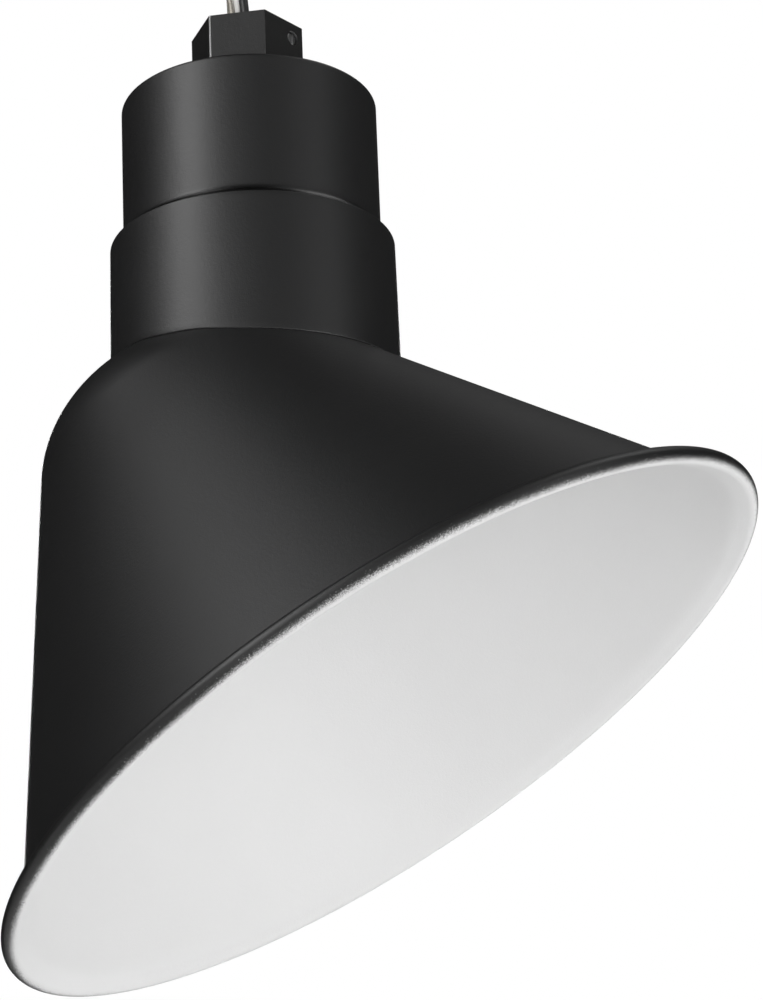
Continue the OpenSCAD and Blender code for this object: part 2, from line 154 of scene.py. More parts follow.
def grid_faces(rows, columns, closed_rows):
    """Four-cornered faces between neighbours in a grid of points numbered row by row. Each row is
    a closed ring; the rows join into a ring too if closed_rows."""
    i = np.arange(rows if closed_rows else rows - 1)
    j = np.arange(columns)
    i, j = (a.ravel() for a in np.meshgrid(i, j, indexing="ij"))
    i2, j2 = (i + 1) % rows, (j + 1) % columns
    return np.stack([i * columns + j, i2 * columns + j, i2 * columns + j2, i * columns + j2], 1)


def outwards(points, faces):
    """The faces turned round if the volume they enclose, summed over tetrahedra, is negative."""
    a, b, c, d = (points[faces[:, k]] for k in range(4))
    volume = (np.einsum("ij,ij->i", a, np.cross(b, c)) + np.einsum("ij,ij->i", a, np.cross(c, d))).sum()
    return faces if volume > 0 else faces[:, ::-1]


def arc(centre, radius, start, end, steps):
    """Points on a circle about centre, from one angle to another, in degrees."""
    a = np.radians(np.linspace(start, end, steps))
    return np.stack([centre[0] + radius * np.cos(a), centre[1] + radius * np.sin(a)], 1)


def line(start, end, steps):
    """Evenly spaced points from start up to, and without, end."""
    t = np.linspace(0, 1, steps, endpoint=False)[:, None]
    return np.array(start) * (1 - t) + np.array(end) * t


def turned(name, loop, steps, node):
    """A closed section of (radius, height) points carried round the neck's axis."""
    a = np.linspace(0, TAU, steps, endpoint=False)[:, None]
    r, z = loop[:, 0][None], loop[:, 1][None]
    points = np.stack([r * np.cos(a), r * np.sin(a), z + 0 * a], -1).reshape(-1, 3)
    faces = outwards(points, grid_faces(steps, len(loop), True))
    return new_piece(name, points, faces, node)


def from_mouth(x, y, h):
    """Points in the mouth's frame, whose height h is along the cone's axis, put in the head's frame."""
    c, s = math.cos(TILT), math.sin(TILT)
    return np.stack([MOUTH_X + x * c - h * s, y, MOUTH_Z + x * s + h * c], -1)


def wall(q, inset, foot):
    """Section of the shade's wall as (radius, height) at length q from its foot: up the straight
    cone, round the shoulder's arc, then level to the axis. inset moves it inwards."""
    r = SHOULDER_R - inset
    top_h = SHOULDER_Y + r * math.sin(CONE)
    straight = (top_h - foot) / math.cos(CONE)
    bend = r * (math.pi / 2 - CONE)
    a = CONE + np.clip(q - straight, 0, bend) / r
    level = np.clip(q - straight - bend, 0, None)
    low = np.clip(q, None, straight) - straight
    radius = SHOULDER_X + r * np.cos(a) - low * math.sin(CONE) - level
    height = SHOULDER_Y + r * np.sin(a) + low * math.cos(CONE)
    return radius, height


def seat_drop(x, y):
    """How far the shade is pressed down round the foot of the neck: most at two places, in front
    and behind on the high side, and fading to nothing away from the neck."""
    bearing = np.abs(np.degrees(np.arctan2(y, x)))
    most = 3.0 * np.exp(-((bearing - 121) / 21) ** 2) - 0.6 * np.exp(-((bearing - 72) / 22) ** 2)
    away = np.clip((np.hypot(x, y) - 52) / 30, 0, 1)
    return most * (1 - away * away * (3 - 2 * away))


def wall_length(theta, inset, foot):
    """Length of the wall from its foot to the neck's round opening, found by halving."""
    low, high = np.zeros_like(theta), np.full_like(theta, 260.0)
    for _ in range(44):
        mid = (low + high) / 2
        r, h = wall(mid, inset, foot)
        p = from_mouth(r * np.cos(theta), r * np.sin(theta), h)
        outside = p[..., 0] ** 2 + p[..., 1] ** 2 > COLLAR_INNER_R ** 2
        low, high = np.where(outside, mid, low), np.where(outside, high, mid)
    return (low + high) / 2


def spray_edge(theta):
    """Angle on the bead, in degrees, where the white spray gives way to black, at each azimuth.
    It is about 290, with a wide hump where the gun came from in front and a low one to the right."""
    front = (np.degrees(theta) + 90 + 180) % 360 - 180
    right = (np.degrees(theta) + 20 + 180) % 360 - 180
    wander = 1.6 * np.sin(5 * theta + 1) + 1.1 * np.sin(11 * theta + 2) + 0.8 * np.sin(23 * theta)
    return 288 + 27 * np.exp(-(front / 27) ** 2) + 8 * np.exp(-(right / 28) ** 2) + wander


def rim_section():
    """The rim's section in four stretches of (radius, height) points: the lip's soft crease, the
    flare under it, the rolled bead as an arc, and the slit and slope above the bead."""
    touch = arc((BEAD_X, BEAD_Y), BEAD_R, BEAD_START, BEAD_START, 1)[0]
    crease, crease_up, crease_out = np.array([142.74, 1.5]), 3.2, 2.4
    out = (touch - crease) / np.hypot(*(touch - crease))
    up_wall = np.array([-math.sin(CONE), math.cos(CONE)])
    ease = np.linspace(0, 1, 15)[1:, None]
    lip = ((1 - ease) ** 2 * (crease + crease_up * up_wall) + 2 * ease * (1 - ease) * crease
           + ease ** 2 * (crease + crease_out * out))
    flare = line(lip[-1] + 0.3 * out, touch, 7)
    bead = arc((BEAD_X, BEAD_Y), BEAD_R, BEAD_START, BEAD_END, 58)
    slit = np.array([145.95, -0.42])
    slope = np.array([142.9, 2.9])
    foot = np.array([CONE_R - OUTER_FOOT * math.tan(CONE), OUTER_FOOT])
    groove = np.array([slit, slit + [-0.28, 0.12], (2 * slit + slope) / 3 + [-0.1, 0],
                       (slit + 2 * slope) / 3 + [0, -0.02], slope + [0.25, -0.12],
                       (slope + foot) / 2 + [0.04, -0.05]])
    return lip, flare, bead, groove


def spray_distance(theta, lip, flare, bead, before, after):
    """Distance along the section, in millimetres, from each of its points to the spray's edge:
    above zero in the white, below zero in the black. Before and after count the walls' points."""
    edge = spray_edge(theta)
    run = np.concatenate([lip, flare, bead[:1]])
    length = np.concatenate([[0], np.cumsum(np.hypot(*np.diff(run, axis=0).T))])
    to_touch = (edge - BEAD_START) * math.pi / 180 * BEAD_R
    on_lip = to_touch + (length[-1] - length[:-1])[None]
    on_bead = (edge - np.linspace(BEAD_START, BEAD_END, len(bead))[None]) * math.pi / 180 * BEAD_R
    return np.concatenate([np.full((len(theta), before), FAR_FROM_SPRAY), on_lip, on_bead,
                           np.full((len(theta), after), -FAR_FROM_SPRAY)], 1)


def spun_shade():
    """The shade: its closed section is carried round the mouth's axis. The section runs down the
    inner wall, out along the flared lip, round the rolled bead, and up the outer wall, and both
    walls end at the neck's opening. A point attribute holds the distance to the spray's edge."""
    steps, inner_n, outer_n = 320, 64, 84
    theta = np.linspace(0, TAU, steps, endpoint=False)[:, None]
    share = np.linspace(0, 1, inner_n)[::-1][None]
    inner = wall(wall_length(theta, SHEET, INNER_FOOT) * share, SHEET, INNER_FOOT)
    share = np.linspace(0, 1, outer_n)[None]
    outer = wall(wall_length(theta, 0, OUTER_FOOT) * share, 0, OUTER_FOOT)
    lip, flare, bead, groove = rim_section()
    rim = np.concatenate([lip, flare, bead, groove])
    around = np.broadcast_to(rim[None], (steps, len(rim), 2))
    section = np.concatenate([np.stack(inner, -1), around, np.stack(outer, -1)], 1)
    r, h = section[..., 0], section[..., 1]
    points = from_mouth(r * np.cos(theta), r * np.sin(theta), h).reshape(-1, 3)
    points[:, 2] -= seat_drop(points[:, 0], points[:, 1])
    faces = outwards(points, grid_faces(steps, section.shape[1], True))
    piece = new_piece("spun_shade", points, faces, "shade")
    spray = spray_distance(theta, lip, flare, bead, inner_n, len(groove) + outer_n)
    attribute = piece.data.attributes.new("spray", "FLOAT", "POINT")
    attribute.data.foreach_set("value", spray.astype(np.float32).ravel())
    return piece


def above_shade(x, y, z):
    """How far a point is outside the shade's outer surface, negative inside it."""
    c, s = math.cos(TILT), math.sin(TILT)
    dx, dz = x - MOUTH_X, z + seat_drop(x, y) - MOUTH_Z
    h = -dx * s + dz * c
    r = np.hypot(dx * c + dz * s, y)
    cone = (r - (CONE_R - h * math.tan(CONE))) * math.cos(CONE)
    bend = np.hypot(r - SHOULDER_X, h - SHOULDER_Y) - SHOULDER_R
    on_bend = (h > SHOULDER_Y) & (r > SHOULDER_X) & (np.arctan2(h - SHOULDER_Y, r - SHOULDER_X) > CONE)
    return np.where(on_bend, bend, np.maximum(cone, h - CROWN_H))


def cut_level(r, angle):
    """Height at which a vertical line at radius r meets the shade, found by halving."""
    low, high = np.full_like(angle, -230.0), np.full_like(angle, -90.0)
    for _ in range(44):
        mid = (low + high) / 2
        inside = above_shade(r * np.cos(angle), r * np.sin(angle), mid) < 0
        low, high = np.where(inside, mid, low), np.where(inside, high, mid)
    return (low + high) / 2


def neck_collar():
    """The collar: a wall carried round the neck's axis, level with a small radius at its top edge,
    and cut below along the shade's surface, where its outer corner is rounded too."""
    steps, down, up = 320, 26, 14
    angle = np.linspace(0, TAU, steps, endpoint=False)[:, None]
    ease, low_ease, lift = 0.45, 0.6, 0.25
    top = arc((COLLAR_R - ease, STEP_Z - ease), ease, 90, 0, 7)
    foot = cut_level(COLLAR_R + 0.45, angle) + lift
    inner_foot = cut_level(COLLAR_INNER_R, angle) + lift
    t = np.linspace(0, 1, down)[None]
    start = top[-1, 1]
    z = start + (foot + low_ease - start) * t
    r = COLLAR_R + COLLAR_DRAFT * (STEP_Z - z)
    quarter = np.linspace(0, math.pi / 2, 7)[None, 1:]
    corner_r = r[:, -1:] - low_ease * (1 - np.cos(quarter))
    corner_z = foot + low_ease * (1 - np.sin(quarter))
    inner_z = inner_foot + (STEP_Z - inner_foot) * np.linspace(0, 1, up)[None]
    rows = (steps, 1)
    inner_r = np.full((steps, up), COLLAR_INNER_R)
    r_all = np.concatenate([np.tile(top[:-1, 0], rows), r, corner_r, inner_r], 1)
    z_all = np.concatenate([np.tile(top[:-1, 1], rows), z, corner_z, inner_z], 1)
    points = np.stack([r_all * np.cos(angle), r_all * np.sin(angle), z_all], -1).reshape(-1, 3)
    faces = outwards(points, grid_faces(steps, r_all.shape[1], True))
    return new_piece("collar_wall", points, faces, "neck_collar")


def socket_housing():
    """The housing: level top with a rounded edge, straight wall, hollow foot and the spigot that
    enters the collar, all one sheet thick."""
    plate = HOUSING_TOP - PLATE
    hole, spigot, low = STUB_HOLE_R, SPIGOT_R, STEP_Z - SPIGOT_H
    end = math.degrees(math.acos((COLLAR_R - spigot) / COVE_R))
    inner_end = math.degrees(math.acos((COLLAR_R - spigot + NECK_WALL) / (COVE_R + NECK_WALL)))
    cove = (COLLAR_R, STEP_Z + COVE_R)
    inside, wall_foot = HOUSING_R - NECK_WALL, STEP_Z + COVE_R + 0.4
    loop = np.concatenate([
        line((hole, plate), (hole, HOUSING_TOP), 3),
        line((hole, HOUSING_TOP), (HOUSING_R - TOP_ROUND, HOUSING_TOP), 12),
        arc((HOUSING_R - TOP_ROUND, HOUSING_TOP - TOP_ROUND), TOP_ROUND, 90, 0, 12),
        line((HOUSING_R, HOUSING_TOP - 2), (HOUSING_R, wall_foot), 24),
        arc(cove, COVE_R, 180, 180 + end, 18),
        line((spigot, STEP_Z), (spigot, low), 4),
        line((spigot, low), (spigot - NECK_WALL, low), 2),
        line((spigot - NECK_WALL, low), (spigot - NECK_WALL, STEP_Z - 0.6), 3),
        arc(cove, COVE_R + NECK_WALL, 180 + inner_end, 180, 14),
        line((inside, wall_foot), (inside, plate), 12),
        line((inside, plate), (hole, plate), 10),
    ])
    return turned("housing_shell", loop, 288, "socket_housing")


def rolled_screw_shell():
    """The lamp's threaded shell: thin sheet whose radius is a rounded wave along a helix of
    3.63 mm pitch, plain at both ends, with an inward flange at its top."""
    steps, pitch, depth, sheet = 144, 3.63, 0.42, 0.3
    bottom, top, thread_top = -112.5, -83.6, -88.5
    hole_r, least_r, most_r = 10.3, 13.12, 13.86
    angle = np.linspace(0, TAU, steps, endpoint=False)[:, None]
    z = np.linspace(bottom, top, 150)[None]
    fade = np.clip((z - bottom) / 2, 0, 1) * np.clip((thread_top - z) / 2, 0, 1)
    wave = 0.5 - 0.5 * np.cos(TAU * z / pitch - angle)
    groove = depth * wave * fade
    flange_r = np.linspace(13.0, hole_r, 6)[None]
    ones = np.ones((steps, 1))
    inner_r = least_r + groove + 0.22 * np.clip((z + 90) / 2, 0, 1)
    outer_r = np.clip(inner_r + sheet, None, most_r)
    r = np.concatenate([inner_r, ones * flange_r, ones * flange_r[:, ::-1], outer_r[:, ::-1]], 1)
    heights = np.concatenate([z, 0 * flange_r - 83.55, 0 * flange_r - 83.05, z[:, ::-1]], 1)
    points = np.stack([r * np.cos(angle), r * np.sin(angle), ones * heights], -1).reshape(-1, 3)
    faces = outwards(points, grid_faces(steps, r.shape[1], True))
    return new_piece("rolled_screw_shell", points, faces, "screw_shell")


def smooth_route(points, fine):
    """A cubic curve through every point of a route, with end directions carried straight on."""
    p = np.array(points, float)
    p = np.concatenate([[2 * p[0] - p[1]], p, [2 * p[-1] - p[-2]]])
    t = np.linspace(0, 1, fine, endpoint=False)[None, :, None]
    a, b, c, d = (p[k:len(p) - 3 + k][:, None] for k in range(4))
    curve = 0.5 * (2 * b + (c - a) * t + (2 * a - 5 * b + 4 * c - d) * t ** 2
                   + (3 * b - a - 3 * c + d) * t ** 3)
    return np.concatenate([curve.reshape(-1, 3), p[-2][None]])


def across_route(route, side):
    """Two unit directions square to the route at each of its points; side is never along it."""
    heading = np.gradient(route, axis=0)
    heading /= np.linalg.norm(heading, axis=1, keepdims=True)
    u = np.cross(np.array(side, float)[None], heading)
    u /= np.linalg.norm(u, axis=1, keepdims=True)
    return u, np.cross(heading, u)


def tube_points(route, radius, sides, side):
    """Rings of points round a route and one point in the middle of each end, with four-cornered
    faces along it and a fan of three-cornered ones over each end."""
    u, v = across_route(route, side)
    a = np.linspace(0, TAU, sides, endpoint=False)[None, :, None]
    rings = route[:, None] + radius * (np.cos(a) * u[:, None] + np.sin(a) * v[:, None])
    points = np.concatenate([rings.reshape(-1, 3), route[:1], route[-1:]])
    k = np.arange(sides)
    k2 = (k + 1) % sides
    first, last, base = len(route) * sides, len(route) * sides + 1, (len(route) - 1) * sides
    near = np.stack([k, k2, np.full(sides, first)], 1)
    far = np.stack([base + k2, base + k, np.full(sides, last)], 1)
    return points, grid_faces(len(route), sides, False).tolist() + near.tolist() + far.tolist()


def tube(name, route, radius, sides, side, node):
    """A round tube along a route, with its ends closed."""
    points, faces = tube_points(route, radius, sides, side)
    return finished_run(name, points, faces, node)


def finished_run(name, points, faces, node):
    """A piece made of tubes, with its faces turned outwards."""
    mesh = bpy.data.meshes.new(name)
    mesh.from_pydata((points * MM).tolist(), [], faces)
    shape = bmesh.new()
    shape.from_mesh(mesh)
    bmesh.ops.recalc_face_normals(shape, faces=shape.faces)
    shape.to_mesh(mesh)
    shape.free()
    return placed(name, mesh, "lamp_head", node)


def twisted_strands(name, route, radius, lay, side, node):
    """Seven wires in one bare conductor: a straight core, and six whose centres go round it by one
    turn in each lay of length."""
    wire = radius * 0.34
    u, v = across_route(route, side)
    run = np.concatenate([[0], np.cumsum(np.linalg.norm(np.diff(route, axis=0), axis=1))])
    points, faces, first = [], [], 0
    for k in range(7):
        a = TAU * run / lay + TAU * k / 6
        reach = 0 if k == 6 else radius - wire
        centre = route + reach * (np.cos(a)[:, None] * u + np.sin(a)[:, None] * v)
        wire_points, wire_faces = tube_points(centre, wire * 1.04, 6, side)
        faces += [[i + first for i in face] for face in wire_faces]
        points.append(wire_points)
        first += len(wire_points)
    return finished_run(name, np.concatenate(points), faces, node)


def lead(name, points, radius, tip_radius, node, tip_node, side):
    """One insulated lead with its stripped end."""
    route = smooth_route(points, 10)
    piece = tube(name, route, radius, 20, side, node)
    last = np.array(points[-1], float)
    ahead = last - np.array(points[-2], float)
    ahead /= np.linalg.norm(ahead)
    along = last + ahead * np.linspace(0, TIP_LENGTH, 40)[:, None]
    tip = twisted_strands(name + "_stripped_end", along, tip_radius, 9, side, tip_node)
    return piece, tip


def eased(name, node, width, body):
    """A copy of a frame node with its corners rounded: its points are merged, its level faces are
    joined, and a bevel takes the sharp edges."""
    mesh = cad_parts[node].data.copy()
    shape = bmesh.new()
    shape.from_mesh(mesh)
    bmesh.ops.remove_doubles(shape, verts=shape.verts, dist=2e-6)
    bmesh.ops.dissolve_limit(shape, angle_limit=math.radians(0.6), verts=shape.verts, edges=shape.edges)
    shape.to_mesh(mesh)
    shape.free()
    mesh.materials.clear()
    piece = placed(name, mesh, body, node)
    bevel = piece.modifiers.new("corners", "BEVEL")
    bevel.width = width * MM
    bevel.segments = 3
    bevel.limit_method = "ANGLE"
    bevel.angle_limit = math.radians(32)
    bevel.use_clamp_overlap = True
    piece.modifiers.new("even", "WEIGHTED_NORMAL")
    return piece


# ---- finishes ----

# direction from the hub's axis to the corner painted as a bright metal strip for a painted highlight, and
# how far out the strip begins and is whole
HIGHLIGHT_CORNER = (-0.5764, -0.8171)
HIGHLIGHT_STRIP_START, HIGHLIGHT_STRIP_FULL = 0.0205, 0.02057


class Value:
    """A value inside a finish. Arithmetic on it adds the Math nodes that work it out."""

    def __init__(self, finish, socket):
        self.finish, self.socket = finish, socket

    def math(self, operation, other=None, flipped=False, clamp=False):
        """One Math node on this value and another, which comes first if flipped."""
        pair = [self] if other is None else ([other, self] if flipped else [self, other])
        node = self.finish.add("ShaderNodeMath", {"operation": operation, "use_clamp": clamp},
                               dict(enumerate(pair)))
        return Value(self.finish, node.outputs[0])

    def __add__(self, other):
        return self.math("ADD", other)

    def __radd__(self, other):
        return self.math("ADD", other, True)

    def __sub__(self, other):
        return self.math("SUBTRACT", other)

    def __rsub__(self, other):
        return self.math("SUBTRACT", other, True)

    def __mul__(self, other):
        return self.math("MULTIPLY", other)

    def __rmul__(self, other):
        return self.math("MULTIPLY", other, True)

    def __pow__(self, other):
        return self.math("POWER", other)

    def clamped(self):
        """The value kept between 0 and 1."""
        return self.math("ADD", 0.0, clamp=True)

    def eased_between(self, low, high):
        """0 below low, 1 above high and an S-shaped curve in between."""
        node = self.finish.add("ShaderNodeMapRange", {"interpolation_type": "SMOOTHSTEP"},
                               {"Value": self, "From Min": low, "From Max": high})
        return Value(self.finish, node.outputs["Result"])


class Finish:
    """A finish for a surface: one Principled shader and the nodes that vary it."""

    def __init__(self, name, colour, roughness, **fixed):
        self.material = bpy.data.materials.new(name)
        self.material.use_nodes = True
        self.tree = self.material.node_tree
        self.tree.nodes.clear()
        self.shader = self.add("ShaderNodeBsdfPrincipled", {}, {
            "Base Color": (*colour, 1), "Roughness": roughness,
            **{k.replace("_", " "): v for k, v in fixed.items()}})
        self.add("ShaderNodeOutputMaterial", {}, {"Surface": self.shader.outputs[0]})
        self.place = self.add("ShaderNodeTexCoord").outputs["Object"]

    def add(self, kind, settings=None, sockets=None):
        """A node of that type, with its settings made first and then its sockets fed."""
        node = self.tree.nodes.new(kind)
        for name, value in (settings or {}).items():
            setattr(node, name, value)
        for name, value in (sockets or {}).items():
            value = value.socket if isinstance(value, Value) else value
            if isinstance(value, bpy.types.NodeSocket):
                self.tree.links.new(value, node.inputs[name])
            else:
                node.inputs[name].default_value = value
        return node

    def noise(self, scale, detail=2.0, rough=0.5, stretch=(1, 1, 1)):
        """Soft random value from 0 to 1; scale is in features to the metre."""
        place = self.add("ShaderNodeMapping", {}, {"Vector": self.place, "Scale": stretch}).outputs[0]
        node = self.add("ShaderNodeTexNoise", {}, {"Vector": place, "Scale": scale, "Detail": detail,
                                                   "Roughness": rough})
        return Value(self, node.outputs[0])

    def cells(self, scale, output="Distance"):
        """Distance to the nearest of scattered points, or the random number of its cell."""
        node = self.add("ShaderNodeTexVoronoi", {}, {"Vector": self.place, "Scale": scale})
        return Value(self, node.outputs[output])

    def coordinates(self):
        """The place on the piece, as three values in metres."""
        parts = self.add("ShaderNodeSeparateXYZ", {}, {0: self.place})
        return [Value(self, output) for output in parts.outputs]

    def attribute(self, name):
        """The piece's own value of that name."""
        return Value(self, self.add("ShaderNodeAttribute", {"attribute_name": name}).outputs["Fac"])

    def between(self, share, first, second):
        """A colour between two others."""
        node = self.add("ShaderNodeMix", {"data_type": "RGBA"}, {"Factor": share, 6: first, 7: second})
        return node.outputs[2]

    def colour(self, share, first, second):
        """Gives the base colour as a mix of two."""
        first, second = ((*c, 1) if isinstance(c, tuple) else c for c in (first, second))
        mixed = self.between(share, first, second)
        self.tree.links.new(mixed, self.shader.inputs["Base Color"])
        return mixed

    def feed(self, socket, value):
        """Feeds one of the shader's sockets with a value."""
        self.tree.links.new(value.socket, self.shader.inputs[socket])

    def relief(self, height, distance, strength=1.0):
        """Fine relief: height in units of distance, in metres."""
        node = self.add("ShaderNodeBump", {}, {"Height": height, "Distance": distance,
                                               "Strength": strength})
        self.tree.links.new(node.outputs[0], self.shader.inputs["Normal"])


def hub_coat():
    """The hub's black powder coat: a shallow orange-peel skin, fine grain, a few specks of dust, and
    one upright corner, found by its direction from the axis, painted bright metal as a painted highlight."""
    f = Finish("hub_paint", (0.012, 0.012, 0.012), 0.38, Specular_IOR_Level=0.5)
    peel, grain, drift = f.noise(850, 2.5, 0.5), f.noise(2300, 2.0, 0.6), f.noise(14, 3.0, 0.55)
    dust = 1 - f.cells(160).eased_between(0.02, 0.06)
    coat = f.between((drift * 0.7 + dust * 0.25).clamped(), (0.0108, 0.0108, 0.0108, 1),
                     (0.0156, 0.0156, 0.0156, 1))
    x, y, _ = f.coordinates()
    out = x * HIGHLIGHT_CORNER[0] + y * HIGHLIGHT_CORNER[1]
    # painted highlight: a narrow strip along one upright corner is made bright metal where the edge's
    # highlight falls
    edge_highlight = out.eased_between(HIGHLIGHT_STRIP_START, HIGHLIGHT_STRIP_FULL)
    f.colour(edge_highlight, coat, (0.6, 0.6, 0.6))
    f.feed("Metallic", edge_highlight * 0.9)
    f.feed("Roughness", 0.35 + drift * 0.04 + grain * 0.03 - edge_highlight * 0.1)
    f.relief(peel * 0.5 + grain * 0.5, 0.00008)
    return f.material


def sprayed_enamel():
    """The shade's two coats: satin black outside, flat white inside, and between them the white
    spray's ragged edge, which is soft, grainy and has stray droplets on both sides."""
    f = Finish("sprayed_enamel", (0.01, 0.01, 0.01), 0.42, Specular_IOR_Level=0.5)
    away = f.attribute("spray")
    grain = f.noise(2400, 3.0, 0.75) - 0.5
    blotch = f.noise(650, 2.0, 0.6) - 0.5
    fog = (away + grain * 5.4 + blotch * 0.9).eased_between(-1.5, 1.3)
    droplet = 1 - f.cells(1400).eased_between(0.14, 0.34)
    stray = droplet * f.cells(1400, "Color").eased_between(0.74, 0.84)
    reach = away.eased_between(-3.2, -0.2) * (1 - away.eased_between(-0.2, 1.5))
    white = (fog + stray * reach * 0.8).clamped()
    drift = f.noise(14, 3.0, 0.55)
    black = f.between(drift, (0.0092, 0.0092, 0.0095, 1), (0.0128, 0.0128, 0.013, 1))
    lime = f.between(drift, (0.79, 0.79, 0.79, 1), (0.835, 0.835, 0.835, 1))
    f.colour(white, black, lime)
    peel = f.noise(850, 2.5, 0.5)
    fine = f.noise(2300, 2.0, 0.6)
    f.feed("Roughness", (1 - white) * (0.39 + drift * 0.04 + fine * 0.03) + white * (0.5 + fine * 0.08))
    f.relief(peel * 0.5 + fine * 0.5 + white * fine * 0.3, 0.00008, 1.0)
    return f.material


def painted_neck(name, radius, foot):
    """Satin black outside a given radius from the neck's axis, and white inside it. With foot at 1
    that radius widens through the housing's hollow foot along a quarter circle, and there the black
    is glossier where the paint has pooled and darker as painted shade in the hollow."""
    f = Finish(name, (0.0105, 0.0105, 0.0107), 0.42, Specular_IOR_Level=0.5)
    x, y, z = f.coordinates()
    out = (x * x + y * y) ** 0.5
    sunk = ((STEP_Z + COVE_R) * MM - z).math("MAXIMUM", 0.0).math("MINIMUM", COVE_R * MM) * foot
    reach = (COVE_R + NECK_WALL / 2) * MM
    middle = radius + reach - (reach ** 2 - sunk * sunk) ** 0.5
    below_top = 1 - z.eased_between((HOUSING_TOP - 1.6) * MM, (HOUSING_TOP - 1.2) * MM)
    inside = (1 - (out - middle).eased_between(-0.0002, 0.0002)) * below_top
    drift = f.noise(14, 3.0, 0.55)
    above_step = z.eased_between((STEP_Z - 0.8) * MM, STEP_Z * MM)
    in_foot = 1 - z.eased_between((STEP_Z + 2.5) * MM, (STEP_Z + 5.5) * MM)
    # painted shade: in the housing's hollow foot the base colour goes near-black where shade falls; the
    # lower roughness there is for the pooled paint
    cove_gloss_and_shade = above_step * in_foot * foot
    coat = f.between(drift, (0.0092, 0.0092, 0.0095, 1), (0.0128, 0.0128, 0.013, 1))
    black = f.between(cove_gloss_and_shade, coat, (0.003, 0.003, 0.003, 1))
    f.colour(inside, black, (0.8, 0.8, 0.79))
    peel = f.noise(850, 2.5, 0.5)
    fine = f.noise(2300, 2.0, 0.6)
    f.feed("Roughness", 0.39 + drift * 0.04 + fine * 0.03 + inside * 0.12 - cove_gloss_and_shade * 0.16)
    f.relief(peel * 0.5 + fine * 0.5, 0.00008, 1.0)
    return f.material


def plated(name, colour, rough, stretch=(1, 1, 1)):
    """Bright metal: fine draw marks and faint stains."""
    f = Finish(name, colour, rough, Metallic=1.0)
    marks = f.noise(2600, 3.0, 0.6, stretch)
    stain = f.noise(160, 3.0, 0.6)
    dark = tuple(c * 0.78 for c in colour)
    f.colour(stain, dark, colour)
    f.feed("Roughness", rough - 0.06 + stain * 0.14 + marks * 0.08)
    f.relief(marks, 0.000015, 0.6)
    return f.material


def rubber():
    """Black rubber: matt, with a fine pebble and a bloom of dust."""
    f = Finish("gasket_rubber", (0.015, 0.015, 0.015), 0.8)
    pebble = f.cells(2400)
    bloom = f.noise(220, 3.0, 0.6)
    f.colour(bloom, (0.012, 0.012, 0.012), (0.026, 0.025, 0.024))
    f.feed("Roughness", 0.72 + bloom * 0.16)
    f.relief(pebble, 0.00004, 0.5)
    return f.material


def porcelain():
    """Glazed porcelain: cream white, glossy, with iron specks and a gently uneven glaze."""
    f = Finish("porcelain_glaze", (0.8, 0.79, 0.75), 0.18, Coat_Weight=0.6, Coat_Roughness=0.06)
    specks = 1 - f.cells(620).eased_between(0.05, 0.11)
    few = f.cells(620, "Color").eased_between(0.8, 0.86)
    body = f.between(f.noise(60, 2.0, 0.5), (0.80, 0.785, 0.74, 1), (0.84, 0.83, 0.8, 1))
    f.colour(specks * few * 0.7, body, (0.25, 0.2, 0.14))
    f.feed("Roughness", 0.14 + f.noise(140, 2.0, 0.5) * 0.1)
    f.relief(f.noise(90, 2.0, 0.5), 0.00012, 0.5)
    return f.material


def fibre_board():
    """Vulcanised fibre: tan, with short crossed fibres pressed into it."""
    f = Finish("fibre_board", (0.42, 0.28, 0.15), 0.7)
    along, crossing = f.noise(900, 3.0, 0.6, (0.12, 1, 1)), f.noise(900, 3.0, 0.6, (1, 0.12, 1))
    f.colour(along * 0.5 + crossing * 0.5, (0.33, 0.21, 0.11), (0.5, 0.35, 0.2))
    f.feed("Roughness", 0.62 + along * 0.16)
    f.relief(along * 0.5 + crossing * 0.5, 0.00005, 0.6)
    return f.material


def insulation(name, dark, light, rough):
    """Extruded insulation: fine ripples from the die, slight waxy unevenness and rubbed spots."""
    f = Finish(name, dark, rough, Specular_IOR_Level=0.5)
    ripple = f.noise(2400, 2.0, 0.5, (1, 1, 0.15))
    rub = f.noise(420, 3.0, 0.65)
    f.colour(rub, dark, light)
    f.feed("Roughness", rough - 0.08 + rub * 0.16 + ripple * 0.06)
    f.relief(ripple * 0.6 + rub * 0.4, 0.00002, 0.35)
    return f.material


def strand(name, dark, light):
    """Tinned copper wires: metal that has dulled unevenly."""
    f = Finish(name, light, 0.42, Metallic=0.85)
    dull = f.noise(900, 3.0, 0.65)
    f.colour(dull, dark, light)
    f.feed("Roughness", 0.32 + dull * 0.26)
    f.relief(f.noise(5200, 2.0, 0.5), 0.00001, 0.6)
    return f.material


def wear(piece, material):
    """Gives a piece one finish."""
    piece.data.materials.clear()
    piece.data.materials.append(material)


# ---- surroundings ----

# azimuth and elevation in degrees, and watts: a tall soft key in front on the left, a broad glow
# from below that fills the mouth, and weak panels everywhere else
SOFT_LIGHTS = ((-51.4, 34, 13.6), (-31, 14, 6.1), (-54, 14, 2.6), (-60, 58, 2.1), (-77, 36, 0.8),
               (-6, 14, 2.4), (18, 14, 0.9), (42, 14, 0.7), (66, 14, 3.1), (51.4, 36, 0.7),
               (60, 58, 1.0), (100, 58, 3.4), (157, 54, 0.5), (30, -8, 2.0), (90, -8, 1.2), (120, -8, 1.5),
               (150, -8, 3.4), (-174, 14, 38.6), (60, -32, 58.7), (0, -32, 17.4), (-30, -32, 9.1),
               (120, -32, 8.5), (90, -32, 6.1), (-90, -32, 4.9))
LIGHT_SIZE, LIGHT_DISTANCE, LIGHT_AIM = 0.8, 2.0, (0.03, 0, -0.18)
WHITE_SEEN, ROOM_GLOW = 1.0, 0.004
FLOOR_HALF, FLOOR_LEVEL, FLOOR_SEEN = 9.0, -1.05, 0.9


